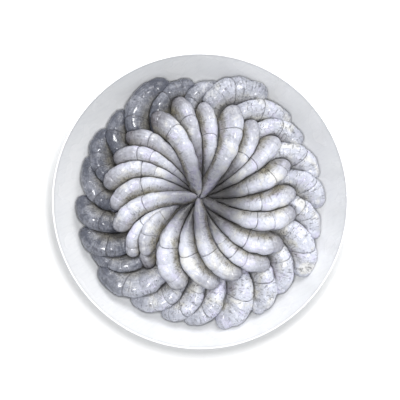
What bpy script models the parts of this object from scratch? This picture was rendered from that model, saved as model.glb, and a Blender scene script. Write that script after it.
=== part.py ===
"""Raw peeled shrimps laid in a rosette in a shallow white bowl.

An inner ring of shrimps has its tails together in the middle, and curls one way. An outer ring
lies lower, half under the inner one, and curls the other way. Each shrimp is one solid. Its core
line is a curve in bearing and distance from the rosette's middle, its section is a leaning
ellipse, and where two bodies press on each other each keeps to its own side, as soft flesh does.

Blender script, in metres, +Z up. The origin is on the table under the middle of the bowl, and
the photograph is seen from above with +Y at the top.
"""

import math
from collections import namedtuple

import bmesh
import bpy
import numpy as np

# Bowl
BOWL_RADIUS = 0.130
BOWL_HEIGHT = 0.045
LIP_WIDTH = 0.0026
FLOOR_TOP = 0.0070
FLOOR_RADIUS = 0.103
UNDERSIDE = 0.0030
FOOT_RADIUS = 0.074
FOOT_WIDTH = 0.005
FOOT_SLOPE = 0.001
BOWL_STEPS = 48
WALL_STEPS = 5
LIP_STEPS = 3
BOWL_COLOUR = (0.90, 0.91, 0.93, 1.0)

# Clearances between the solids
BODY_GAP = 0.0012
BOWL_GAP = 0.0005

# Form that all the shrimps share
SIDES = 10
SEGMENT_ENDS = (0.26, 0.42, 0.57, 0.72, 0.87)
TAIL_RINGS = (0.035, 0.13)
HEAD_RINGS = (0.94, 0.985)
THICKEST_AT = 0.85
HEAD_CAP_FROM = 0.88
SEGMENT_SWELL = 0.06
DEEP_SHARE = 0.55
WIDE_SHARE = 0.47
BELLY_NARROWING = 0.14
CORE_SAMPLES = 40
TANGENT_STEP = 0.004
RAY_STEPS = 8
RAY_HALVINGS = 5
FLESH_COLOUR = (0.66, 0.67, 0.72, 1.0)

# What the shrimps of one ring share: the middle that they turn about, how they bend, taper and
# lean, and the heights of their core lines.
Ring = namedtuple(
    "Ring",
    "middle bend sweep_power taper_power lean tail_radius tail_height crest_at crest_height head_drop",
)
INNER = Ring(
    middle=(-0.0010, 0.0035),
    bend=math.radians(70),
    sweep_power=2.2,
    taper_power=0.42,
    lean=math.radians(36),
    tail_radius=0.0105,
    tail_height=0.0115,
    crest_at=0.70,
    crest_height=0.0265,
    head_drop=0.0050,
)
OUTER = Ring(
    middle=(0.0, 0.0),
    bend=math.radians(100),
    sweep_power=2.2,
    taper_power=0.30,
    lean=math.radians(56),
    tail_radius=0.0460,
    tail_height=0.0115,
    crest_at=0.55,
    crest_height=0.0205,
    head_drop=0.0060,
)

# One shrimp: bearing of its head end and how far its body sweeps round on the way there, both in
# degrees and anticlockwise from +X, its reach from the middle, its thickness, how much higher it
# lies than its ring, and how much nearer the middle and higher its tail lies.
Shrimp = namedtuple("Shrimp", "bearing sweep reach girth lift tail_in tail_up", defaults=(0, 0, 0))
INNER_SHRIMPS = (
    Shrimp(204, 21, 0.0760, 0.0190, 0.0020, 0.0065, 0.0055),
    Shrimp(189, 27, 0.0750, 0.0175),
    Shrimp(175, 27, 0.0820, 0.0185),
    Shrimp(158, 22, 0.0805, 0.0175),
    Shrimp(142, 19, 0.0820, 0.0170),
    Shrimp(122, 17, 0.0795, 0.0210, 0.0020, 0.0070, 0.0060),
    Shrimp(105, 10, 0.0880, 0.0185),
    Shrimp(90, 12, 0.0820, 0.0170),
    Shrimp(73, 16, 0.0825, 0.0210, 0.0020, 0.0065, 0.0060),
    Shrimp(58, 18, 0.0805, 0.0175, -0.0010),
    Shrimp(39, 7, 0.0855, 0.0190),
    Shrimp(24, 13, 0.0825, 0.0185),
    Shrimp(6, 14, 0.0825, 0.0180),
    Shrimp(-6, 20, 0.0825, 0.0205, 0.0005, 0.0030, 0.0020),
    Shrimp(-27, 20, 0.0820, 0.0195),
    Shrimp(-42, 20, 0.0840, 0.0195),
    Shrimp(-60, 25, 0.0760, 0.0190, 0.0020, 0.0065, 0.0055),
    Shrimp(-76, 32, 0.0775, 0.0185),
    Shrimp(-98, 30, 0.0785, 0.0220),
    Shrimp(-123, 29, 0.0760, 0.0160, -0.0055),
    Shrimp(-131, 24, 0.0680, 0.0150, 0.0020),
    Shrimp(-137, 21, 0.0780, 0.0165),
)
OUTER_SHRIMPS = (
    Shrimp(178, -17, 0.1010, 0.0215),
    Shrimp(157, -26, 0.1000, 0.0200),
    Shrimp(142, -26, 0.1015, 0.0200),
    Shrimp(129, -21, 0.1000, 0.0195),
    Shrimp(104, -31, 0.1045, 0.0240, 0.0010),
    Shrimp(92, -29, 0.1005, 0.0190),
    Shrimp(79, -20, 0.0990, 0.0190),
    Shrimp(57, -30, 0.1070, 0.0235, 0.0015),
    Shrimp(40, -29, 0.1015, 0.0205),
    Shrimp(29, -23, 0.0985, 0.0205),
    Shrimp(11, -23, 0.1000, 0.0215),
    Shrimp(-3, -19, 0.1015, 0.0205),
    Shrimp(-18, -17, 0.1005, 0.0205),
    Shrimp(-37, -21, 0.1065, 0.0230),
    Shrimp(-51, -20, 0.1005, 0.0205),
    Shrimp(-64, -17, 0.1035, 0.0215),
    Shrimp(-82, -20, 0.1050, 0.0240),
    Shrimp(-98, -20, 0.1010, 0.0210),
    Shrimp(-109, -18, 0.1005, 0.0200),
    Shrimp(-126, -22, 0.1005, 0.0205),
    Shrimp(-147, -29, 0.1020, 0.0240, 0.0010),
    Shrimp(-157, -22, 0.0995, 0.0175),
    Shrimp(-167, -18, 0.1015, 0.0210),
)

# A body's core: points along it, the three directions of its section there, and the half sizes
# along them.
Core = namedtuple("Core", "centres along deep wide half_deep half_wide")


def eased(share):
    """Goes from 0 to 1 with level ends."""
    share = np.clip(share, 0.0, 1.0)
    return share * share * (3.0 - 2.0 * share)


def unit(vectors):
    return vectors / np.linalg.norm(vectors, axis=-1, keepdims=True)


def core_line(ring, shrimp, share):
    """Points of the core line, for shares of the way from the tail's tip, 0, to the head end, 1."""
    tail_radius = ring.tail_radius - shrimp.tail_in
    outward = np.sin(ring.bend * share) / math.sin(ring.bend)
    radius = tail_radius + (shrimp.reach - tail_radius) * outward
    bearing = np.radians(shrimp.bearing - shrimp.sweep * (1.0 - share**ring.sweep_power))
    past_crest = np.clip((share - ring.crest_at) / (1.0 - ring.crest_at), 0.0, 1.0)
    tail_height = ring.tail_height + shrimp.tail_up
    rise = (ring.crest_height + shrimp.lift - tail_height) * eased(share / ring.crest_at)
    height = tail_height + rise - ring.head_drop * past_crest**2
    across = ring.middle[0] + radius * np.cos(bearing)
    upward = ring.middle[1] + radius * np.sin(bearing)
    return np.stack([across, upward, height], axis=-1)


def thickness(ring, share):
    """The body's thickness along its length, as a share of its girth: thin tail, blunt head end."""
    body = np.clip(share / THICKEST_AT, 0.0, 1.0) ** ring.taper_power
    cap = np.clip((share - HEAD_CAP_FROM) / (1.0 - HEAD_CAP_FROM), 0.0, 1.0)
    return body * np.sqrt(1.0 - cap**2)


def segment_swell(share):
    """How far each segment stands out between the two grooves that bound it, 0 to 1."""
    bounds = np.array((0.0, *SEGMENT_ENDS, 1.0))
    index = np.clip(np.searchsorted(bounds, share, side="right") - 1, 0, len(bounds) - 2)
    within = (share - bounds[index]) / (bounds[index + 1] - bounds[index])
    return np.sin(math.pi * np.clip(within, 0.0, 1.0))


def core_of(ring, shrimp, share):
    """The core at the given shares. A body leans towards the outer side of its own curl."""
    along = unit(
        core_line(ring, shrimp, np.minimum(share + TANGENT_STEP, 1.0))
        - core_line(ring, shrimp, np.maximum(share - TANGENT_STEP, 0.0))
    )
    clockwise = unit(np.cross(along, (0.0, 0.0, 1.0)))
    upright = np.cross(clockwise, along)
    lean = math.copysign(ring.lean, shrimp.sweep)
    deep = math.cos(lean) * upright + math.sin(lean) * clockwise
    girth = shrimp.girth * thickness(ring, share)
    return Core(
        core_line(ring, shrimp, share),
        along,
        deep,
        np.cross(deep, along),
        DEEP_SHARE * girth,
        WIDE_SHARE * girth,
    )


def nearness(points, core):
    """Distance of points from a core, as a share of that body's thickness where it is nearest."""
    least = np.full(len(points), np.inf)
    for centre, along, deep, wide, half_deep, half_wide in zip(*core):
        offset = points - centre
        share = (
            (offset @ deep / half_deep) ** 2
            + (offset @ wide / half_wide) ** 2
            + (offset @ along / half_wide) ** 2
        )
        least = np.minimum(least, share)
    return np.sqrt(least)


def bowl_wall(step_count):
    """Radius and height along the inside of the bowl, from the floor's edge up to the lip."""
    inner_lip = BOWL_RADIUS - LIP_WIDTH
    share = np.linspace(0.0, 1.0, step_count + 1)
    lip_base = BOWL_HEIGHT - LIP_WIDTH / 2
    radius = FLOOR_RADIUS + (inner_lip - FLOOR_RADIUS) * share
    return radius, FLOOR_TOP + (lip_base - FLOOR_TOP) * share**2


def bowl_surface(points):
    """Height of the bowl's inside under each point. The bowl's flats come in past its true circle."""
    radius, height = bowl_wall(WALL_STEPS)
    distance = np.hypot(points[:, 0], points[:, 1]) / math.cos(math.pi / BOWL_STEPS)
    return np.interp(distance, radius, height)


def free_share(start, ray, own_half, own_core, others):
    """How much of each ray, from the core to the skin, stays on this body's side of the others."""

    def is_free(share):
        points = start + ray * share[:, None]
        own = nearness(points, own_core) + BODY_GAP / own_half
        free = points[:, 2] > bowl_surface(points) + BOWL_GAP
        for other in others:
            free &= own < nearness(points, other)
        return free

    low = np.zeros(len(start))
    high = np.ones(len(start))
    going = np.ones(len(start), dtype=bool)
    for step in range(1, RAY_STEPS + 1):
        share = np.full(len(start), step / RAY_STEPS)
        free = is_free(share)
        stopped = going & ~free
        high[stopped] = share[stopped]
        low[going & free] = share[going & free]
        going &= free
    for _ in range(RAY_HALVINGS):
        middle = (low + high) / 2
        free = is_free(middle)
        low = np.where(going | ~free, low, middle)
        high = np.where(going | free, high, middle)
    return low


def ring_shares():
    """Where the rings of vertices lie: at each groove, and midway between two grooves."""
    inner = []
    for near, far in zip(SEGMENT_ENDS, SEGMENT_ENDS[1:]):
        inner += [near, (near + far) / 2]
    return np.array((0.0, *TAIL_RINGS, *inner, SEGMENT_ENDS[-1], *HEAD_RINGS, 1.0))


def material(name, colour, roughness):
    made = bpy.data.materials.new(name)
    made.use_nodes = True
    shader = made.node_tree.nodes["Principled BSDF"]
    shader.inputs["Base Color"].default_value = colour
    shader.inputs["Roughness"].default_value = roughness
    shader.inputs["Metallic"].default_value = 0.0
    return made


def new_object(name, mesh, collection, finish):
    made = bpy.data.objects.new(name, mesh)
    made.data.materials.append(finish)
    collection.objects.link(made)
    return made


def shrimp_mesh(name, ring, shrimp, own_core, others):
    """A ball whose rings are laid along the core line and whose sides are pressed by the others."""
    shares = ring_shares()
    form = bmesh.new()
    bmesh.ops.create_uvsphere(form, u_segments=SIDES, v_segments=len(shares) - 1, radius=1.0)
    ball = np.array([vertex.co for vertex in form.verts])
    level = np.arccos(np.clip(ball[:, 2], -1.0, 1.0)) / math.pi * (len(shares) - 1)
    share = shares[np.rint(level).astype(int)]
    at = core_of(ring, shrimp, share)
    turn = np.arctan2(ball[:, 1], ball[:, 0])
    belly = 1.0 - BELLY_NARROWING * (1.0 - np.cos(turn)) / 2
    swell = 1.0 - SEGMENT_SWELL * (1.0 - segment_swell(share))
    deep = np.cos(turn) * at.half_deep * swell
    wide = np.sin(turn) * at.half_wide * belly * swell
    ray = deep[:, None] * at.deep + wide[:, None] * at.wide
    own_half = np.maximum(at.half_wide, BODY_GAP)
    kept = free_share(at.centres, ray, own_half, own_core, others)
    for vertex, place in zip(form.verts, at.centres + ray * kept[:, None]):
        vertex.co = place
    mesh = bpy.data.meshes.new(name)
    form.to_mesh(mesh)
    form.free()
    mesh.shade_smooth()
    return mesh


def make_shrimps(collection, finish):
    listed = [("inner", INNER, one) for one in INNER_SHRIMPS]
    listed += [("outer", OUTER, one) for one in OUTER_SHRIMPS]
    samples = np.linspace(0.0, 1.0, CORE_SAMPLES + 2)[1:-1]
    cores = [core_of(ring, one, samples) for _, ring, one in listed]
    counts = {"inner": 0, "outer": 0}
    for index, (word, ring, one) in enumerate(listed):
        counts[word] += 1
        name = f"shrimp_{word}_{counts[word]:02d}"
        near = [core for other, core in enumerate(cores) if other != index and meets(core, cores[index])]
        new_object(name, shrimp_mesh(name, ring, one, cores[index], near), collection, finish)


def meets(core, other):
    """Whether two bodies could touch."""
    apart = np.linalg.norm(core.centres[:, None] - other.centres[None], axis=-1)
    reach = core.half_deep[:, None] + other.half_deep[None]
    return bool((apart < reach + BODY_GAP).any())


def bowl_profile():
    """The bowl's half section: out along the floor, up inside, over the lip, down and under."""
    radius, height = bowl_wall(WALL_STEPS)
    inside = [(0.0, FLOOR_TOP), *zip(radius, height)]
    round_lip = LIP_WIDTH / 2
    centre = (BOWL_RADIUS - round_lip, BOWL_HEIGHT - round_lip)
    lip = []
    for step in range(1, LIP_STEPS + 1):
        angle = math.pi * (1.0 - step / LIP_STEPS)
        lip.append((centre[0] + round_lip * math.cos(angle), centre[1] + round_lip * math.sin(angle)))
    outside = []
    for share in np.linspace(1.0, 0.0, WALL_STEPS)[1:]:
        out = FLOOR_RADIUS + (BOWL_RADIUS - FLOOR_RADIUS) * share
        outside.append((out, UNDERSIDE + (centre[1] - UNDERSIDE) * share**2))
    foot_edge = FOOT_RADIUS + FOOT_WIDTH
    foot = [(foot_edge + FOOT_SLOPE, UNDERSIDE), (foot_edge, 0.0), (FOOT_RADIUS, 0.0)]
    return inside + lip + outside + foot + [(FOOT_RADIUS - FOOT_SLOPE, UNDERSIDE), (0.0, UNDERSIDE)]


def make_bowl(collection, finish):
    outline = bmesh.new()
    corners = [outline.verts.new((radius, 0.0, height)) for radius, height in bowl_profile()]
    for first, second in zip(corners, corners[1:]):
        outline.edges.new((first, second))
    mesh = bpy.data.meshes.new("bowl")
    outline.to_mesh(mesh)
    outline.free()
    bowl = new_object("bowl", mesh, collection, finish)
    turned = bowl.modifiers.new("turned", "SCREW")
    turned.steps = BOWL_STEPS
    turned.render_steps = BOWL_STEPS
    turned.use_merge_vertices = True
    turned.merge_threshold = 0.00001


def main():
    for old in list(bpy.data.objects):
        bpy.data.objects.remove(old, do_unlink=True)
    collection = bpy.data.collections.new("shrimp_rosette")
    bpy.context.scene.collection.children.link(collection)
    make_bowl(collection, material("white_glaze", BOWL_COLOUR, 0.25))
    make_shrimps(collection, material("raw_flesh", FLESH_COLOUR, 0.30))


main()
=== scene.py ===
"""The looks of a bowl of raw peeled shrimps laid in a rosette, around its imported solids.

Every shrimp is modelled again at full detail along the same core line and given its segments and
lumps. Its neighbours press it in the same way, and then it gets its grooves and folds of skin. The
bowl is turned again as a smooth glazed piece. The photograph is taken from straight above.
"""

import math
import random
from collections import namedtuple

import bmesh
import bpy
import numpy as np
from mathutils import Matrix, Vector, noise


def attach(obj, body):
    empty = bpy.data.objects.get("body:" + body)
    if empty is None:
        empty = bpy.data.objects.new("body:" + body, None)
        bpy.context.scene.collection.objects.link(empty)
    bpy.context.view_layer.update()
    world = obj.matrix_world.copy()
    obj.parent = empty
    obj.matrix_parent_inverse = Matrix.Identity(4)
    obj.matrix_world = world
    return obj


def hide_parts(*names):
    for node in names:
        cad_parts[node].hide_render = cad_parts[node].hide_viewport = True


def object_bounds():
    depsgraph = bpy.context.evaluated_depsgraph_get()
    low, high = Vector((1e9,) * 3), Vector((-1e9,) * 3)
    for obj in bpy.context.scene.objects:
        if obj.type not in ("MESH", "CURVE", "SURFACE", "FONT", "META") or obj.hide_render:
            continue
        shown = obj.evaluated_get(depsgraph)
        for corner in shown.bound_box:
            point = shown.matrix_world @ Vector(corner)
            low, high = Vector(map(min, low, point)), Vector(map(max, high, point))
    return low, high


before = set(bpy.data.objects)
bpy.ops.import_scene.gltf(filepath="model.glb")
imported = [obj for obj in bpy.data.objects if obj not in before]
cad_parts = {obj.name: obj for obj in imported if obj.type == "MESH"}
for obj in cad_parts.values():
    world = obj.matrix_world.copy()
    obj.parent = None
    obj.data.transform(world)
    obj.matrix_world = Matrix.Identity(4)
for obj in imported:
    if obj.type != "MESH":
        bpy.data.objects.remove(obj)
CAD_BOX = [list(corner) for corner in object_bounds()]

# Bowl. Its lip is thinner than in the solids, with the crown close to the outer edge.
BOWL_RADIUS = 0.130
BOWL_HEIGHT = 0.045
LIP_WIDTH = 0.0015
FLOOR_TOP = 0.0070
FLOOR_RADIUS = 0.103
UNDERSIDE = 0.0030
FOOT_RADIUS = 0.074
FOOT_WIDTH = 0.005
FOOT_SLOPE = 0.001
BOWL_STEPS = 192
WALL_STEPS = 24
LIP_STEPS = 10
LIP_CROWN_IN = 0.0004
BOWL_SHARP_ANGLE = math.radians(35)
WELD = 0.00001

# Clearances between the pieces
BODY_GAP = 0.0004
BOWL_GAP = 0.0003

# Form that all the shrimps share
SIDES = 56
SEGMENT_ENDS = (0.26, 0.42, 0.57, 0.72, 0.87)
RINGS_IN_SEGMENT = (
    0.0, 0.025, 0.06, 0.11, 0.18, 0.28, 0.40, 0.52, 0.64, 0.75, 0.84, 0.91, 0.955, 0.985,
)
RINGS_IN_CAP = (0.0, 0.03, 0.08, 0.15, 0.24, 0.36, 0.50, 0.64, 0.76, 0.86, 0.93, 0.975, 0.993)
THICKEST_AT = 0.85
HEAD_CAP_FROM = 0.88
HEAD_BLUNTNESS = 2.3
DEEP_SHARE = 0.60
WIDE_SHARE = 0.42
BELLY_NARROWING = 0.14
CORE_SAMPLES = 40
TANGENT_STEP = 0.004
RAY_STEPS = 8
RAY_HALVINGS = 5
DRAW_SEED = 7
SHORTEST = 1e-6

# How the flesh differs from its plain solid: fuller towards the tail, whose tip runs on inwards
# and downwards, with its head end drawn in by what it is fuller, segments of uneven length and
# borders that bow towards the head end, one of them deeper than the others.
FULLER_TAPER = 0.72
HEAD_DRAW_IN = 0.0014
TAIL_RUN = 0.0095
TAIL_DIP = 0.0030
TAIL_RUN_SHARE = 0.25
TAIL_PAST_MIDDLE = 0.0006
SEGMENT_SHIFT = 0.014
SEGMENT_SWELL = 0.075
SEGMENT_ROUNDNESS = 0.7
GROOVE_DEPTH = 0.00026
GROOVE_SHARE = 0.006
GROOVE_DRAWS = (-0.8, 0.7)
FAINTEST_GROOVE = 0.08
STRONG_BORDERS = (2, 3)
GROOVE_BOW = 0.055
BOW_DRAWS = (0.6, 1.3)
LUMP_SHARE = 0.11
LUMP_SIZE = 0.012
NOISE_RANGE = 50.0
PATTERN_SHIFT = 0.01

# Folds of the skin: higher on the slack skin of the outer ring, and flatter where it is pressed
FOLD_HEIGHT = 0.00020
SLACK_FOLD_HEIGHT = 0.00045
FOLD_SIZE = 0.0035
PRESSED_RELIEF = 0.3

# How the bodies lie together. Each reaches a little over the next, like a tile. Inside of
# GAP_FILL_RADIUS they also swell downwards into the gaps: more the nearer another body is than the
# first of CROWDED, and the more the skin faces down past the first of GAP_FILL_DOWN. The second of
# each is over how much that grows. Nearness is in shares of a body's thickness, 1 at its skin, and
# at FAR nothing is near.
OVERLAP = 0.16
OVERLAP_STEEPNESS = 2.0
GAP_FILL = 0.7
GAP_FILL_RADIUS = 0.094
GAP_FILL_EDGE = 0.006
GAP_FILL_DOWN = (-0.1, 0.5)
CROWDED = (2.0, 0.6)
CREVICE_REACH = 1.2
FAR = 9.0

# What the shrimps of one ring share: the middle that they turn about, how they bend, taper and
# lean, and the heights of their core lines.
Ring = namedtuple(
    "Ring",
    "middle bend sweep_power taper_power lean "
    "tail_radius tail_height crest_at crest_height head_drop",
)
INNER = Ring(
    middle=(-0.0010, 0.0035),
    bend=math.radians(70),
    sweep_power=2.2,
    taper_power=0.42,
    lean=math.radians(52),
    tail_radius=0.0105,
    tail_height=0.0115,
    crest_at=0.70,
    crest_height=0.0265,
    head_drop=0.0050,
)
OUTER = Ring(
    middle=(0.0, 0.0),
    bend=math.radians(100),
    sweep_power=2.2,
    taper_power=0.30,
    lean=math.radians(60),
    tail_radius=0.0460,
    tail_height=0.0115,
    crest_at=0.55,
    crest_height=0.0205,
    head_drop=0.0060,
)

# One shrimp: bearing of its head end and how far its body sweeps round on the way there, both in
# degrees and anticlockwise from +X, its reach from the middle, its thickness, how much higher it
# lies than its ring, and how much nearer the middle and higher its tail lies.
Shrimp = namedtuple("Shrimp", "bearing sweep reach girth lift tail_in tail_up", defaults=(0, 0, 0))
INNER_SHRIMPS = (
    Shrimp(204, 21, 0.0760, 0.0190, 0.0020, 0.0065, 0.0055),
    Shrimp(189, 27, 0.0750, 0.0175),
    Shrimp(175, 27, 0.0820, 0.0185),
    Shrimp(158, 22, 0.0805, 0.0175),
    Shrimp(142, 19, 0.0820, 0.0170),
    Shrimp(122, 17, 0.0795, 0.0210, 0.0020, 0.0070, 0.0060),
    Shrimp(105, 10, 0.0880, 0.0185),
    Shrimp(90, 12, 0.0820, 0.0170),
    Shrimp(73, 16, 0.0825, 0.0210, 0.0020, 0.0065, 0.0060),
    Shrimp(58, 18, 0.0805, 0.0175, -0.0010),
    Shrimp(39, 7, 0.0855, 0.0190),
    Shrimp(24, 13, 0.0825, 0.0185),
    Shrimp(6, 14, 0.0825, 0.0180),
    Shrimp(-6, 20, 0.0825, 0.0205, 0.0005, 0.0030, 0.0020),
    Shrimp(-27, 20, 0.0820, 0.0195),
    Shrimp(-42, 20, 0.0840, 0.0195),
    Shrimp(-60, 25, 0.0760, 0.0190, 0.0020, 0.0065, 0.0055),
    Shrimp(-76, 32, 0.0775, 0.0185),
    Shrimp(-98, 30, 0.0785, 0.0220),
    Shrimp(-123, 29, 0.0760, 0.0160, -0.0055),
    Shrimp(-131, 24, 0.0680, 0.0150, 0.0020),
    Shrimp(-137, 21, 0.0780, 0.0165),
)
OUTER_SHRIMPS = (
    Shrimp(178, -17, 0.1010, 0.0215),
    Shrimp(157, -26, 0.1000, 0.0200),
    Shrimp(142, -26, 0.1015, 0.0200),
    Shrimp(129, -21, 0.1000, 0.0195),
    Shrimp(104, -31, 0.1045, 0.0240, 0.0010),
    Shrimp(92, -29, 0.1005, 0.0190),
    Shrimp(79, -20, 0.0990, 0.0190),
    Shrimp(57, -30, 0.1070, 0.0235, 0.0015),
    Shrimp(40, -29, 0.1015, 0.0205),
    Shrimp(29, -23, 0.0985, 0.0205),
    Shrimp(11, -23, 0.1000, 0.0215),
    Shrimp(-3, -19, 0.1015, 0.0205),
    Shrimp(-18, -17, 0.1005, 0.0205),
    Shrimp(-37, -21, 0.1065, 0.0230),
    Shrimp(-51, -20, 0.1005, 0.0205),
    Shrimp(-64, -17, 0.1035, 0.0215),
    Shrimp(-82, -20, 0.1050, 0.0240),
    Shrimp(-98, -20, 0.1010, 0.0210),
    Shrimp(-109, -18, 0.1005, 0.0200),
    Shrimp(-126, -22, 0.1005, 0.0205),
    Shrimp(-147, -29, 0.1020, 0.0240, 0.0010),
    Shrimp(-157, -22, 0.0995, 0.0175),
    Shrimp(-167, -18, 0.1015, 0.0210),
)

# Tone of the flesh, 0 dark to 1 pale, with painted shade in it. Each ring is painted darkest
# towards its dark side, and the outer ring, which lies lower, is painted darker all over. The outer
# ring also gets a painted step of shade there and a painted shadow under the inner ring. Every
# shrimp and every segment differs a little, those that lie low get painted shade, and a few tails
# get painted shade.
INNER_DARK_SIDE = math.radians(140)
OUTER_DARK_SIDE = math.radians(160)
INNER_DARKENING = 620.0
INNER_TONE = 0.90
OUTER_TONE = 0.70
OUTER_DARKENING = 0.25
OUTER_SHADE = 0.34
OUTER_SHADE_STEP = (0.05, 0.55)
UNDER_INNER_PAINTED_SHADOW = 0.20
UNDER_RADII = (0.098, 0.080)
UNDER_TURN = 0.1
TONE_SPREAD = 0.06
SEGMENT_TONE_SPREAD = 0.07
LOW_LYING_PAINTED_SHADE = 42.0
OWN_TONES = {"shrimp_inner_07": -0.11, "shrimp_inner_08": -0.06, "shrimp_inner_21": -0.08}
SHADED_TAILS = {"shrimp_inner_05": 0.40, "shrimp_inner_07": 0.55, "shrimp_inner_10": 0.60}
SHADED_REACH = (0.30, 0.60)
HIGH_TAIL = 0.006

# Shadow where the tails come together, a little beside the rosette's middle
HUB = (0.0048, 0.0026)
HUB_DARK = 0.018
HUB_CLEAR = 0.051

# Colours of the flesh, of its marks and painted shade, and of the glaze and its painted shade
PALE_FLESH = (0.700, 0.716, 0.795)
# Dark ends of the flesh: darker flesh and painted shade alike
DARK_AND_SHADED_FLESH = (0.092, 0.099, 0.128)
WARM_DARK_AND_SHADED_FLESH = (0.125, 0.116, 0.130)
CREAM = (0.82, 0.80, 0.72)
LILAC = (0.68, 0.65, 0.83)
OLIVE = (0.300, 0.268, 0.168)
DARK_OLIVE = (0.098, 0.080, 0.043)
CREVICE_SHADE = (0.100, 0.097, 0.092)
HUB_SHADE = (0.035, 0.033, 0.032)
VIOLET = (0.36, 0.32, 0.58)
VEIN = (0.055, 0.055, 0.065)
# Painted shade on the bowl's floor under the shrimps
UNDER_SHRIMP_SHADE = (0.10, 0.095, 0.075)
GLAZE = (0.870, 0.880, 0.895)
THICK_GLAZE = (0.900, 0.905, 0.915)
STREAKED_GLAZE = (0.800, 0.810, 0.835)

# Sizes of the patterns in metres. Strokes and fibres have theirs along the body and across it. The
# width of the veins is a share of a cell of their net.
TINT_SIZE = 0.014
CLOUD_SIZE = 0.011
MOTTLE_SIZE = 0.0035
GRAIN_SIZE = 0.0010
CURL_SIZE = 0.0045
STROKE_SIZE = (0.0013, 0.0070, 0.0070)
FIBRE_SIZE = (0.0150, 0.0020, 0.0020)
VEIN_NET_SIZE = 0.0060
VEIN_NET_WIDTH = 0.030
VEIN_NET_BEND = 0.004
POOL_SIZE = 0.030
ORANGE_PEEL_SIZE = 0.0025
STREAK_SIZE = (0.0140, 0.0018, 0.0140)
STREAK_TURN = math.radians(-32)
# Radii where the painted shade under the shrimps begins and where it is full
UNDER_SHRIMP_SHADE_RADII = (0.100, 0.088)

# Photograph: straight down, 400 pixels across
LENS = 100.0
SENSOR = 36.0
CAMERA_HEIGHT = 0.974
FRAME_MIDDLE = (-0.00013, 0.00092)

# Light: a large window, a small lamp straight above for the glints, and an even room. The stage's
# floor glows a little, so that it comes out white.
WINDOW_PLACE = (0.32, 0.83, 0.92)
WINDOW_SIZE = 0.70
WINDOW_WATTS = 9.0
OVERHEAD_PLACE = (0.0, 0.0, 0.50)
OVERHEAD_SIZE = 0.08
OVERHEAD_WATTS = 1.42
LIT_POINT = (0.0, 0.0, 0.02)
ROOM_COLOUR = (0.96, 0.98, 1.0)
ROOM_STRENGTH = 0.48
STAGE_HALF = 3.0
STAGE_COLOUR = (0.92, 0.92, 0.92)
STAGE_GLOW = 0.17

# A body's core: points along it, the three directions of its section there, and the half sizes
# along them.
Core = namedtuple("Core", "centres along deep wide half_deep half_wide")


def eased(share):
    """Goes from 0 to 1 with level ends."""
    share = np.clip(share, 0.0, 1.0)
    return share * share * (3.0 - 2.0 * share)


def unit(vectors):
    return vectors / np.linalg.norm(vectors, axis=-1, keepdims=True)


def core_line(ring, shrimp, share):
    """Points of the core line, for shares of the way from the tail's tip, 0, to the head end, 1."""
    tail_radius = ring.tail_radius - shrimp.tail_in
    tail_run = np.clip(1.0 - share / TAIL_RUN_SHARE, 0.0, 1.0) ** 2
    outward = np.sin(ring.bend * share) / math.sin(ring.bend)
    radius = tail_radius + (shrimp.reach - HEAD_DRAW_IN - tail_radius) * outward
    if ring is INNER:
        run = min(TAIL_RUN, tail_radius + TAIL_PAST_MIDDLE)
        radius = radius - run * tail_run
    bearing = np.radians(shrimp.bearing - shrimp.sweep * (1.0 - share**ring.sweep_power))
    past_crest = np.clip((share - ring.crest_at) / (1.0 - ring.crest_at), 0.0, 1.0)
    tail_height = ring.tail_height + shrimp.tail_up
    rise = (ring.crest_height + shrimp.lift - tail_height) * eased(share / ring.crest_at)
    height = tail_height + rise - ring.head_drop * past_crest**2
    if not shrimp.tail_up:
        height = height - TAIL_DIP * tail_run
    across = ring.middle[0] + radius * np.cos(bearing)
    upward = ring.middle[1] + radius * np.sin(bearing)
    return np.stack([across, upward, height], axis=-1)


def thickness(ring, share):
    """The body's thickness along its length, as a share of its girth: thin tail, blunt head end."""
    body = np.clip(share / THICKEST_AT, 0.0, 1.0) ** (ring.taper_power * FULLER_TAPER)
    cap = np.clip((share - HEAD_CAP_FROM) / (1.0 - HEAD_CAP_FROM), 0.0, 1.0)
    return body * (1.0 - cap**HEAD_BLUNTNESS) ** (1.0 / HEAD_BLUNTNESS)


def core_of(ring, shrimp, share):
    """The core at the given shares. A body leans towards the outer side of its own curl."""
    along = unit(
        core_line(ring, shrimp, np.minimum(share + TANGENT_STEP, 1.0))
        - core_line(ring, shrimp, np.maximum(share - TANGENT_STEP, 0.0))
    )
    clockwise = unit(np.cross(along, (0.0, 0.0, 1.0)))
    upright = np.cross(clockwise, along)
    lean = math.copysign(ring.lean, shrimp.sweep)
    deep = math.cos(lean) * upright + math.sin(lean) * clockwise
    girth = shrimp.girth * thickness(ring, share)
    return Core(
        core_line(ring, shrimp, share),
        along,
        deep,
        np.cross(deep, along),
        DEEP_SHARE * girth,
        WIDE_SHARE * girth,
    )


def nearness(points, core):
    """Distance of points from a core, as a share of that body's thickness where it is nearest."""
    axes = np.stack([
        core.deep / core.half_deep[:, None],
        core.wide / core.half_wide[:, None],
        core.along / core.half_wide[:, None],
    ], axis=1)
    centres = np.einsum("skj,sj->sk", axes, core.centres).ravel()
    turned = points @ axes.reshape(-1, 3).T - centres
    return np.sqrt((turned**2).reshape(len(points), -1, 3).sum(axis=2).min(axis=1))


def bowl_wall(step_count):
    """Radius and height along the inside of the bowl, from the floor's edge up to the lip."""
    inner_lip = BOWL_RADIUS - LIP_WIDTH
    share = np.linspace(0.0, 1.0, step_count + 1)
    lip_base = BOWL_HEIGHT - LIP_WIDTH
    radius = FLOOR_RADIUS + (inner_lip - FLOOR_RADIUS) * share
    return radius, FLOOR_TOP + (lip_base - FLOOR_TOP) * share**2


def bowl_surface(points):
    """Height of the bowl's inside under each point."""
    radius, height = bowl_wall(WALL_STEPS)
    return np.interp(np.hypot(points[:, 0], points[:, 1]), radius, height)


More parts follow.
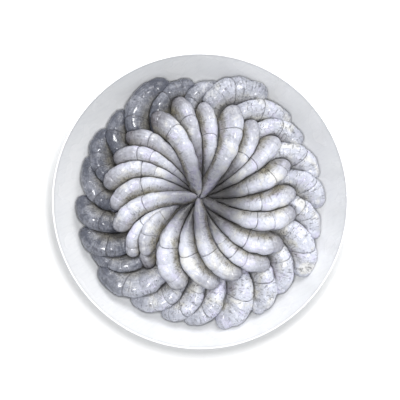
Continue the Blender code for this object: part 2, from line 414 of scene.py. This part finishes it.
def free_share(start, ray, own_half, own_core, others, overlap):
    """How much of each ray, from the core to the skin, stays on this body's side of the others.

    The others are pairs of a core and how far the overlap counts there, 1 in the same ring.
    """

    def is_free(chosen, share):
        points = start[chosen] + ray[chosen] * share[:, None]
        own = nearness(points, own_core) + BODY_GAP / own_half[chosen]
        free = points[:, 2] > bowl_surface(points) + BOWL_GAP
        for other, beside in others:
            free &= own < nearness(points, other) * (1.0 + overlap[chosen] * beside)
        return free

    kept = np.ones(len(start))
    everywhere = np.arange(len(start))
    pressed = everywhere[~is_free(everywhere, kept)]
    low = np.zeros(len(start))
    high = np.ones(len(start))
    going = pressed
    for step in range(1, RAY_STEPS):
        free = is_free(going, np.full(len(going), step / RAY_STEPS))
        high[going[~free]] = step / RAY_STEPS
        going = going[free]
        low[going] = step / RAY_STEPS
    for _ in range(RAY_HALVINGS):
        middle = (low[pressed] + high[pressed]) / 2
        free = is_free(pressed, middle)
        low[pressed[free]] = middle[free]
        high[pressed[~free]] = middle[~free]
    kept[pressed] = low[pressed]
    return kept


def ring_shares(ends):
    """Where the rings of vertices lie along the body: closest at the grooves and at both ends."""
    bounds = (0.0, *ends)
    shares = [
        near + (far - near) * step
        for near, far in zip(bounds, bounds[1:])
        for step in RINGS_IN_SEGMENT
    ]
    shares += [ends[-1] + (1.0 - ends[-1]) * step for step in RINGS_IN_CAP]
    return np.array((*shares, 1.0))


def segment_form(ends, depths, share):
    """How far each point's segment stands out there, 0 to 1, and how deep a groove is there."""
    bounds = np.array((0.0, *ends, 1.0))
    index = np.clip(np.searchsorted(bounds, share, side="right") - 1, 0, len(bounds) - 2)
    within = np.clip((share - bounds[index]) / (bounds[index + 1] - bounds[index]), 0.0, 1.0)
    apart = np.abs(share[:, None] - np.array(ends))
    grooves = (np.exp(-((apart / GROOVE_SHARE) ** 2)) * np.array(depths)).max(axis=1)
    return np.sin(math.pi * within) ** SEGMENT_ROUNDNESS, grooves


def noise_at(points, size, offset):
    """Soft noise, about -1 to 1, with features of the given size."""
    return np.array([noise.noise(Vector(point) / size + offset) for point in points])


def nearest_of(points, others):
    """Nearness of the points to the nearest of the other bodies."""
    nearest = np.full(len(points), FAR)
    for other, _ in others:
        nearest = np.minimum(nearest, nearness(points, other))
    return nearest


def add_values(mesh, name, values):
    """Keeps a number or a vector for each vertex, for the material to read."""
    kind, word = ("FLOAT", "value") if np.ndim(values) == 1 else ("FLOAT_VECTOR", "vector")
    stored = mesh.attributes.new(name=name, type=kind, domain="POINT")
    stored.data.foreach_set(word, np.asarray(values, dtype=np.float32).ravel())


def filled_out(ray, plain_skin, others):
    """The rays from core to skin, longer where the skin faces down into a gap."""
    crowded = (CROWDED[0] - nearest_of(plain_skin, others)) / CROWDED[1]
    inside = (GAP_FILL_RADIUS - np.hypot(plain_skin[:, 0], plain_skin[:, 1])) / GAP_FILL_EDGE
    crowded = np.clip(crowded, 0.0, 1.0) * np.clip(inside, 0.0, 1.0)
    downward = -ray[:, 2] / np.maximum(np.linalg.norm(ray, axis=1), SHORTEST)
    turned_down = eased((downward - GAP_FILL_DOWN[0]) / GAP_FILL_DOWN[1])
    return ray * (1.0 + GAP_FILL * crowded * turned_down)[:, None]


def shrimp_piece(node, ring, shrimp, own_core, others, own_tone, draw):
    """A ball drawn out along the core line, pressed by the others, with segments and folds.

    The material reads what is kept on its vertices: place in the straightened body, share of the
    length, which flank is the hollow one, grooves, crevices, tone with its painted shade,
    slackness, and if the tail lies on top of the others.
    """
    ends = [end + draw.uniform(-SEGMENT_SHIFT, SEGMENT_SHIFT) for end in SEGMENT_ENDS]
    depths = [max(draw.uniform(*GROOVE_DRAWS), FAINTEST_GROOVE) for _ in ends]
    depths[draw.choice(STRONG_BORDERS)] = 1.0
    shares = ring_shares(ends)
    form = bmesh.new()
    bmesh.ops.create_uvsphere(form, u_segments=SIDES, v_segments=len(shares) - 1, radius=1.0)
    ball = np.array([vertex.co for vertex in form.verts])
    level = np.arccos(np.clip(ball[:, 2], -1.0, 1.0)) / math.pi * (len(shares) - 1)
    share = shares[np.rint(level).astype(int)]
    turn = np.arctan2(ball[:, 1], ball[:, 0])
    swell, groove = segment_form(ends, depths, share)
    curl = math.copysign(1.0, shrimp.sweep)
    from_top = turn - curl * ring.lean
    bow = GROOVE_BOW * draw.uniform(*BOW_DRAWS) * (1.0 - np.cos(from_top))
    bow = bow * share * (1.0 - share) * 4.0
    placed = np.clip(share - bow, 0.0, 1.0)
    at = core_of(ring, shrimp, placed)
    belly = 1.0 - BELLY_NARROWING * (1.0 - np.cos(turn)) / 2
    scale = 1.0 - SEGMENT_SWELL * (1.0 - swell)
    deep = np.cos(turn) * at.half_deep * scale
    wide = np.sin(turn) * at.half_wide * belly * scale
    ray = deep[:, None] * at.deep + wide[:, None] * at.wide
    plain_skin = at.centres + ray
    offset = Vector([draw.uniform(-NOISE_RANGE, NOISE_RANGE) for _ in range(3)])
    ray = ray * (1.0 + LUMP_SHARE * noise_at(plain_skin, LUMP_SIZE, offset))[:, None]
    ray = filled_out(ray, plain_skin, others)
    own_half = np.maximum(at.half_wide, BODY_GAP)
    hollow_side = curl * np.sin(from_top)
    overlap = OVERLAP * np.clip(-OVERLAP_STEEPNESS * hollow_side, -1.0, 1.0)
    kept = free_share(at.centres, ray, own_half, own_core, others, overlap)
    skin = at.centres + ray * kept[:, None]
    slack = 0.0 if ring is INNER else 1.0
    fold_height = FOLD_HEIGHT + slack * (SLACK_FOLD_HEIGHT - FOLD_HEIGHT)
    folds = noise_at(skin, FOLD_SIZE, offset) * fold_height
    fullness = np.clip(at.half_wide / (WIDE_SHARE * shrimp.girth), 0.0, 1.0)
    free_skin = PRESSED_RELIEF + (1.0 - PRESSED_RELIEF) * kept
    relief = (folds - GROOVE_DEPTH * groove * free_skin) * fullness
    outward = ray / np.maximum(np.linalg.norm(ray, axis=1, keepdims=True), SHORTEST)
    skin = skin + outward * relief[:, None]
    for vertex, place in zip(form.verts, skin):
        vertex.co = place
    mesh = bpy.data.meshes.new(f"{node}_flesh")
    form.to_mesh(mesh)
    form.free()
    mesh.shade_smooth()
    crevice = 1.0 - (nearest_of(skin, others) - 1.0) / CREVICE_REACH
    tone = ring_tone_with_painted_shade(ring, skin) + fine_tone_with_painted_shade(node, shrimp, share, ends, own_tone)
    length = np.linalg.norm(np.diff(own_core.centres, axis=0), axis=1).sum()
    straight = np.stack([placed * length, deep, wide], axis=1) + np.array(offset) * PATTERN_SHIFT
    add_values(mesh, "straight", straight)
    add_values(mesh, "along", placed)
    add_values(mesh, "hollow_side", hollow_side)
    add_values(mesh, "groove", groove)
    add_values(mesh, "crevice", np.clip(crevice, 0.0, 1.0))
    add_values(mesh, "tone", np.clip(tone, 0.0, 1.0))
    add_values(mesh, "slack", np.full(len(share), slack))
    add_values(mesh, "on_top", np.full(len(share), min(shrimp.tail_up / HIGH_TAIL, 1.0)))
    return mesh


def meets(core, other):
    """Whether two bodies could touch."""
    apart = np.linalg.norm(core.centres[:, None] - other.centres[None], axis=-1)
    reach = core.half_deep[:, None] + other.half_deep[None]
    return bool((apart < reach + BODY_GAP).any())


def new_piece(name, mesh, finish, node):
    """Adds a piece of the dressed part in the place of its node."""
    piece = bpy.data.objects.new(name, mesh)
    piece.data.materials.append(finish)
    bpy.context.scene.collection.objects.link(piece)
    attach(piece, "root")
    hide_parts(node)


def ring_tone_with_painted_shade(ring, skin):
    """Tone of the ring at each skin point, with painted shade falling towards the dark side."""
    side = INNER_DARK_SIDE if ring is INNER else OUTER_DARK_SIDE
    towards_dark = skin[:, 0] * math.cos(side) + skin[:, 1] * math.sin(side)
    if ring is INNER:
        return INNER_TONE - INNER_DARKENING * np.maximum(towards_dark, 0.0) ** 3
    radius = np.hypot(skin[:, 0], skin[:, 1])
    under = np.clip((UNDER_RADII[0] - radius) / (UNDER_RADII[0] - UNDER_RADII[1]), 0.0, 1.0)
    dark = towards_dark / radius
    # A painted step of shade towards the dark side, and a painted shadow under the inner ring
    shaded = OUTER_SHADE * eased((dark - OUTER_SHADE_STEP[0]) / OUTER_SHADE_STEP[1])
    painted_shadow_under_inner = UNDER_INNER_PAINTED_SHADOW * under * np.clip(dark + UNDER_TURN, 0.0, 1.0)
    return OUTER_TONE - OUTER_DARKENING * dark - shaded - painted_shadow_under_inner


def fine_tone_with_painted_shade(node, shrimp, share, ends, own_tone):
    """How one shrimp's tone differs along its length from its ring's, painted shade included."""
    own_draw = random.Random(node)
    spread = SEGMENT_TONE_SPREAD
    segment_tones = np.array([own_draw.uniform(-spread, spread) for _ in range(len(ends) + 1)])
    # Painted shade on a few tails, and on shrimps that lie low
    from_shade = (share - SHADED_REACH[0]) / (SHADED_REACH[1] - SHADED_REACH[0])
    tail_shade = SHADED_TAILS.get(node, 0.0) * (1.0 - eased(from_shade))
    painted_low_shade = LOW_LYING_PAINTED_SHADE * min(shrimp.lift, 0.0)
    return own_tone + painted_low_shade + segment_tones[np.searchsorted(ends, share)] - tail_shade


def make_shrimps(finish):
    listed = [("inner", INNER, number, one) for number, one in enumerate(INNER_SHRIMPS, 1)]
    listed += [("outer", OUTER, number, one) for number, one in enumerate(OUTER_SHRIMPS, 1)]
    samples = np.linspace(0.0, 1.0, CORE_SAMPLES + 2)[1:-1]
    cores = [core_of(ring, one, samples) for _, ring, _, one in listed]
    draw = random.Random(DRAW_SEED)
    for index, (word, ring, number, one) in enumerate(listed):
        own = cores[index]
        near = [
            (core, 1.0 if listed[other][1] is ring else 0.0)
            for other, core in enumerate(cores)
            if other != index and meets(core, own)
        ]
        node = f"shrimp_{word}_{number:02d}"
        tone = draw.uniform(-TONE_SPREAD, TONE_SPREAD) + OWN_TONES.get(node, 0.0)
        mesh = shrimp_piece(node, ring, one, own, near, tone, draw)
        new_piece(f"{node}_flesh", mesh, finish, node)


def bowl_profile():
    """The bowl's half section: out along the floor, up inside, over the lip, down and under."""
    radius, height = bowl_wall(WALL_STEPS)
    inside = [(0.0, FLOOR_TOP), (FLOOR_RADIUS / 2, FLOOR_TOP), *zip(radius, height)]
    round_lip = LIP_WIDTH / 2
    centre = (BOWL_RADIUS - LIP_CROWN_IN, CAD_BOX[1][2] - round_lip)
    lip = []
    for step in range(1, LIP_STEPS + 1):
        angle = math.pi * (1.0 - step / LIP_STEPS)
        out = LIP_CROWN_IN if math.cos(angle) > 0.0 else LIP_WIDTH - LIP_CROWN_IN
        lip.append((centre[0] + out * math.cos(angle), centre[1] + round_lip * math.sin(angle)))
    outside = []
    for share in np.linspace(1.0, 0.0, WALL_STEPS)[1:]:
        out = FLOOR_RADIUS + (BOWL_RADIUS - FLOOR_RADIUS) * share
        outside.append((out, UNDERSIDE + (centre[1] - UNDERSIDE) * share**2))
    foot_edge = FOOT_RADIUS + FOOT_WIDTH
    foot = [(foot_edge + FOOT_SLOPE, UNDERSIDE), (foot_edge, 0.0), (FOOT_RADIUS, 0.0)]
    return inside + lip + outside + foot + [(FOOT_RADIUS - FOOT_SLOPE, UNDERSIDE), (0.0, UNDERSIDE)]


def make_bowl(finish):
    form = bmesh.new()
    corners = [form.verts.new((radius, 0.0, height)) for radius, height in bowl_profile()]
    edges = [form.edges.new(pair) for pair in zip(corners, corners[1:])]
    bmesh.ops.spin(
        form,
        geom=corners + edges,
        cent=(0.0, 0.0, 0.0),
        axis=(0.0, 0.0, 1.0),
        angle=math.tau,
        steps=BOWL_STEPS,
        use_merge=True,
    )
    bmesh.ops.remove_doubles(form, verts=form.verts, dist=WELD)
    bmesh.ops.recalc_face_normals(form, faces=form.faces)
    mesh = bpy.data.meshes.new("bowl_glazed")
    form.to_mesh(mesh)
    form.free()
    mesh.shade_smooth()
    mesh.set_sharp_from_angle(angle=BOWL_SHARP_ANGLE)
    new_piece("bowl_glazed", mesh, finish, "bowl")


class Nodes:
    """Short calls for laying out a material's nodes."""

    def __init__(self, name):
        self.material = bpy.data.materials.new(name)
        self.material.use_nodes = True
        self.tree = self.material.node_tree
        self.shader = self.tree.nodes["Principled BSDF"]
        self.place = self.tree.nodes.new("ShaderNodeTexCoord").outputs["Object"]

    def link(self, source, target):
        self.tree.links.new(source, target)

    def value(self, name, output="Fac"):
        """A number kept on the mesh's vertices."""
        node = self.tree.nodes.new("ShaderNodeAttribute")
        node.attribute_name = name
        return node.outputs[output]

    def stretched(self, place, sizes):
        """The place, divided by a size along each axis."""
        node = self.tree.nodes.new("ShaderNodeVectorMath")
        node.operation = "DIVIDE"
        self.link(place, node.inputs[0])
        node.inputs[1].default_value = sizes
        return node.outputs[0]

    def math(self, operation, first, second=0.0):
        node = self.tree.nodes.new("ShaderNodeMath")
        node.operation = operation
        for socket, given in zip(node.inputs, (first, second)):
            if isinstance(given, (int, float)):
                socket.default_value = given
            else:
                self.link(given, socket)
        return node.outputs[0]

    def times(self, first, second):
        return self.math("MULTIPLY", first, second)

    def ramp(self, source, low, high, out_low=0.0, out_high=1.0):
        """A smooth step of the source from low to high."""
        node = self.tree.nodes.new("ShaderNodeMapRange")
        node.interpolation_type = "SMOOTHSTEP"
        node.inputs["From Min"].default_value = low
        node.inputs["From Max"].default_value = high
        node.inputs["To Min"].default_value = out_low
        node.inputs["To Max"].default_value = out_high
        self.link(source, node.inputs["Value"])
        return node.outputs["Result"]

    def turned(self, angle):
        """The place, turned about the upright axis."""
        node = self.tree.nodes.new("ShaderNodeMapping")
        self.link(self.place, node.inputs["Vector"])
        node.inputs["Rotation"].default_value = (0.0, 0.0, angle)
        return node.outputs[0]

    def noise(self, size, detail=3.0, roughness=0.55, distortion=0.0, place=None):
        """Noise whose features have the given size in metres."""
        node = self.tree.nodes.new("ShaderNodeTexNoise")
        node.inputs["Scale"].default_value = 1.0 / size
        node.inputs["Detail"].default_value = detail
        node.inputs["Roughness"].default_value = roughness
        node.inputs["Distortion"].default_value = distortion
        self.link(place or self.place, node.inputs["Vector"])
        return node.outputs["Fac"]

    def reach_from(self, middle):
        """Level distance from an upright axis."""
        shifted = self.tree.nodes.new("ShaderNodeVectorMath")
        shifted.operation = "SUBTRACT"
        self.link(self.place, shifted.inputs[0])
        shifted.inputs[1].default_value = (*middle, 0.0)
        level = self.tree.nodes.new("ShaderNodeVectorMath")
        level.operation = "MULTIPLY"
        self.link(shifted.outputs[0], level.inputs[0])
        level.inputs[1].default_value = (1.0, 1.0, 0.0)
        length = self.tree.nodes.new("ShaderNodeVectorMath")
        length.operation = "LENGTH"
        self.link(level.outputs[0], length.inputs[0])
        return length.outputs["Value"]

    def hairlines(self, size, width, bend):
        """A net of fine lines round cells of the given size, 1 on a line."""
        warp = self.tree.nodes.new("ShaderNodeTexNoise")
        warp.inputs["Scale"].default_value = 2.0 / size
        self.link(self.place, warp.inputs["Vector"])
        moved = self.tree.nodes.new("ShaderNodeVectorMath")
        moved.operation = "MULTIPLY_ADD"
        self.link(warp.outputs["Color"], moved.inputs[0])
        moved.inputs[1].default_value = (bend, bend, bend)
        self.link(self.place, moved.inputs[2])
        cells = self.tree.nodes.new("ShaderNodeTexVoronoi")
        cells.feature = "DISTANCE_TO_EDGE"
        cells.inputs["Scale"].default_value = 1.0 / size
        self.link(moved.outputs[0], cells.inputs["Vector"])
        return self.ramp(cells.outputs["Distance"], 0.0, width, 1.0, 0.0)

    def mix(self, share, first, second):
        """Goes from the first colour to the second as the share goes from 0 to 1."""
        node = self.tree.nodes.new("ShaderNodeMix")
        node.data_type = "RGBA"
        colours = [socket for socket in node.inputs if socket.type == "RGBA"]
        for socket, given in zip((node.inputs["Factor"], *colours), (share, first, second)):
            if isinstance(given, tuple):
                socket.default_value = (*given, 1.0)
            elif isinstance(given, (int, float)):
                socket.default_value = given
            else:
                self.link(given, socket)
        return [socket for socket in node.outputs if socket.type == "RGBA"][0]

    def bump(self, height, distance, strength=1.0, below=None):
        node = self.tree.nodes.new("ShaderNodeBump")
        node.inputs["Distance"].default_value = distance
        node.inputs["Strength"].default_value = strength
        self.link(height, node.inputs["Height"])
        if below is not None:
            self.link(below, node.inputs["Normal"])
        return node.outputs["Normal"]


def flesh_material():
    """Wet translucent flesh: cloudy pale muscle, fine seams and strokes, olive and painted shade in
    crevices.
    """
    made = Nodes("raw_flesh")
    hollow_side = made.value("hollow_side")
    along = made.value("along")
    groove = made.value("groove")
    crevice = made.value("crevice")
    on_top = made.value("on_top")
    slack = made.value("slack")
    straight = made.value("straight", "Vector")
    tints = made.noise(TINT_SIZE, detail=3.0, distortion=0.4)
    clouds = made.noise(CLOUD_SIZE, detail=4.0)
    mottle = made.noise(MOTTLE_SIZE, detail=4.0, distortion=0.6)
    grain = made.noise(GRAIN_SIZE, detail=3.0, roughness=0.7)
    across = made.stretched(straight, STROKE_SIZE)
    strokes = made.noise(1.0, detail=2.0, roughness=0.6, distortion=0.6, place=across)
    curls = made.noise(CURL_SIZE, detail=2.0, distortion=1.2)
    lengthwise = made.stretched(straight, FIBRE_SIZE)
    fibres = made.noise(1.0, detail=3.0, roughness=0.6, place=lengthwise)

    def by_ring(inner, outer):
        return made.ramp(slack, 0.0, 1.0, inner, outer)

    # Dark to pale muscle with painted shade, cloudy and fibrous, with cream, lilac and violet in
    # places
    shade = made.value("tone")
    for pattern, weight in ((clouds, 0.75), (mottle, 0.65), (fibres, 0.50)):
        change = made.times(made.math("SUBTRACT", pattern, 0.5), weight)
        shade = made.math("ADD", shade, change)
    # Darker towards the head end: partly greyer flesh, partly painted shade where the head slopes
    # down
    head_shade = made.times(made.ramp(along, 0.70, 1.0), by_ring(0.46, 0.20))
    shade = made.math("SUBTRACT", shade, head_shade)
    colour = made.mix(shade, made.mix(slack, WARM_DARK_AND_SHADED_FLESH, DARK_AND_SHADED_FLESH), PALE_FLESH)
    for low, high, tint in ((0.47, 0.34, CREAM), (0.53, 0.66, LILAC)):
        share = made.times(made.ramp(tints, low, high), made.ramp(shade, 0.35, 0.9, 0.0, 0.55))
        colour = made.mix(share, colour, tint)
    violet = made.times(made.ramp(along, 0.42, 0.08), made.ramp(mottle, 0.44, 0.62))
    colour = made.mix(made.times(violet, 0.6), colour, VIOLET)

    # Olive and painted shade on the hollow flank by the crevices, and painted shade deep in them
    uneven = made.times(made.math("SUBTRACT", mottle, 0.5), 1.2)
    uneven = made.math("ADD", hollow_side, uneven)
    flank = made.times(made.ramp(uneven, -0.10, 0.95), made.ramp(crevice, 0.0, 0.55))
    flank = made.times(flank, made.ramp(clouds, 0.36, 0.58, 0.50, 1.0))
    olive = made.mix(made.ramp(grain, 0.40, 0.62), OLIVE, DARK_OLIVE)
    colour = made.mix(made.times(flank, by_ring(0.86, 0.55)), colour, olive)
    deep = made.times(made.ramp(crevice, 0.80, 1.0), made.ramp(hollow_side, -0.1, 0.6))
    colour = made.mix(made.times(deep, by_ring(0.42, 0.22)), colour, CREVICE_SHADE)

    # Dark strokes, curls, specks, veins and seams between the segments, and shadow in the middle
    stroked = made.times(made.ramp(strokes, 0.52, 0.60), made.ramp(mottle, 0.42, 0.58))
    worn = made.ramp(hollow_side, -0.3, 0.8, 0.10, 0.95)
    worn = made.math("MAXIMUM", worn, made.times(slack, 0.85))
    stroked = made.times(stroked, worn)
    colour = made.mix(made.times(stroked, 0.62), colour, VEIN)
    line = made.math("ABSOLUTE", made.math("SUBTRACT", curls, 0.5))
    line = made.times(made.ramp(line, 0.022, 0.004), made.ramp(clouds, 0.47, 0.56))
    line = made.times(line, worn)
    colour = made.mix(made.times(line, 0.80), colour, VEIN)
    specks = made.times(made.ramp(grain, 0.60, 0.72), made.ramp(clouds, 0.44, 0.60))
    colour = made.mix(made.times(specks, 0.45), colour, VEIN)
    veins = made.hairlines(VEIN_NET_SIZE, VEIN_NET_WIDTH, VEIN_NET_BEND)
    veins = made.times(veins, made.ramp(mottle, 0.50, 0.62))
    veins = made.times(veins, by_ring(0.22, 0.95))
    colour = made.mix(veins, colour, VEIN)
    seam = made.times(made.ramp(groove, 0.15, 0.75), made.ramp(mottle, 0.30, 0.55, 0.35, 1.0))
    colour = made.mix(made.times(seam, 0.66), colour, VEIN)
    sunk = made.ramp(made.reach_from(HUB), HUB_CLEAR, HUB_DARK)
    sunk = made.times(sunk, made.ramp(on_top, 0.0, 1.0, 0.96, 0.62))
    colour = made.mix(sunk, colour, HUB_SHADE)
    made.link(colour, made.shader.inputs["Base Color"])

    made.link(made.ramp(mottle, 0.35, 0.65, 0.30, 0.50), made.shader.inputs["Roughness"])
    fine = made.bump(grain, 0.00040, 0.8)
    folded = made.bump(strokes, 0.0008, 0.6, fine)
    made.link(made.bump(mottle, 0.0014, 0.8, folded), made.shader.inputs["Normal"])
    made.shader.inputs["IOR"].default_value = 1.38
    made.shader.inputs["Subsurface Weight"].default_value = 0.70
    made.shader.inputs["Subsurface Radius"].default_value = (1.0, 0.95, 0.9)
    made.shader.inputs["Subsurface Scale"].default_value = 0.0028
    made.shader.inputs["Coat Weight"].default_value = 0.50
    made.shader.inputs["Coat Roughness"].default_value = 0.16
    return made.material


def glaze_material():
    """White glaze over clay, with the faint unevenness of a dipped piece, and painted shade under
    the shrimps.
    """
    made = Nodes("white_glaze")
    pools = made.noise(POOL_SIZE, detail=2.0)
    orange_peel = made.noise(ORANGE_PEEL_SIZE, detail=2.0)
    turned = made.turned(STREAK_TURN)
    streaks = made.noise(1.0, detail=2.0, place=made.stretched(turned, STREAK_SIZE))
    colour = made.mix(made.ramp(pools, 0.3, 0.7), GLAZE, THICK_GLAZE)
    colour = made.mix(made.ramp(streaks, 0.48, 0.66, 0.0, 0.35), colour, STREAKED_GLAZE)
    # Painted shade on the bowl's floor under the shrimps
    shade_under_shrimps = made.ramp(made.reach_from((0.0, 0.0)), *UNDER_SHRIMP_SHADE_RADII)
    colour = made.mix(shade_under_shrimps, colour, UNDER_SHRIMP_SHADE)
    made.link(colour, made.shader.inputs["Base Color"])
    made.link(made.ramp(pools, 0.3, 0.7, 0.22, 0.30), made.shader.inputs["Roughness"])
    made.link(made.bump(orange_peel, 0.00012, 0.4), made.shader.inputs["Normal"])
    made.shader.inputs["IOR"].default_value = 1.5
    made.shader.inputs["Coat Weight"].default_value = 0.3
    made.shader.inputs["Coat Roughness"].default_value = 0.08
    return made.material


def make_floor():
    form = bmesh.new()
    bmesh.ops.create_grid(form, x_segments=1, y_segments=1, size=STAGE_HALF)
    mesh = bpy.data.meshes.new("floor")
    form.to_mesh(mesh)
    form.free()
    floor = bpy.data.objects.new("floor", mesh)
    bpy.context.scene.collection.objects.link(floor)
    made = Nodes("pale_floor")
    made.shader.inputs["Base Color"].default_value = (*STAGE_COLOUR, 1.0)
    made.shader.inputs["Roughness"].default_value = 0.9
    made.shader.inputs["Emission Color"].default_value = (1.0, 1.0, 1.0, 1.0)
    made.shader.inputs["Emission Strength"].default_value = STAGE_GLOW
    floor.data.materials.append(made.material)


def add_light(name, place, size, energy):
    """A square soft white light that faces the middle of the rosette."""
    lamp = bpy.data.lights.new(name, "AREA")
    lamp.size = size
    lamp.energy = energy
    light = bpy.data.objects.new(name, lamp)
    light.location = place
    towards = Vector(LIT_POINT) - Vector(place)
    light.rotation_euler = towards.to_track_quat("-Z", "Y").to_euler()
    bpy.context.scene.collection.objects.link(light)


def light_the_scene():
    add_light("window", WINDOW_PLACE, WINDOW_SIZE, WINDOW_WATTS)
    add_light("overhead", OVERHEAD_PLACE, OVERHEAD_SIZE, OVERHEAD_WATTS)
    world = bpy.data.worlds.new("room")
    world.use_nodes = True
    background = world.node_tree.nodes["Background"]
    background.inputs["Color"].default_value = (*ROOM_COLOUR, 1.0)
    background.inputs["Strength"].default_value = ROOM_STRENGTH
    bpy.context.scene.world = world


def set_up_camera():
    lens = bpy.data.cameras.new("camera")
    lens.lens = LENS
    lens.sensor_width = SENSOR
    camera = bpy.data.objects.new("camera", lens)
    camera.location = (*FRAME_MIDDLE, BOWL_HEIGHT + CAMERA_HEIGHT)
    bpy.context.scene.collection.objects.link(camera)
    bpy.context.scene.camera = camera
    bpy.context.scene.view_settings.view_transform = "Standard"


set_up_camera()
light_the_scene()
make_floor()
make_bowl(glaze_material())
make_shrimps(flesh_material())
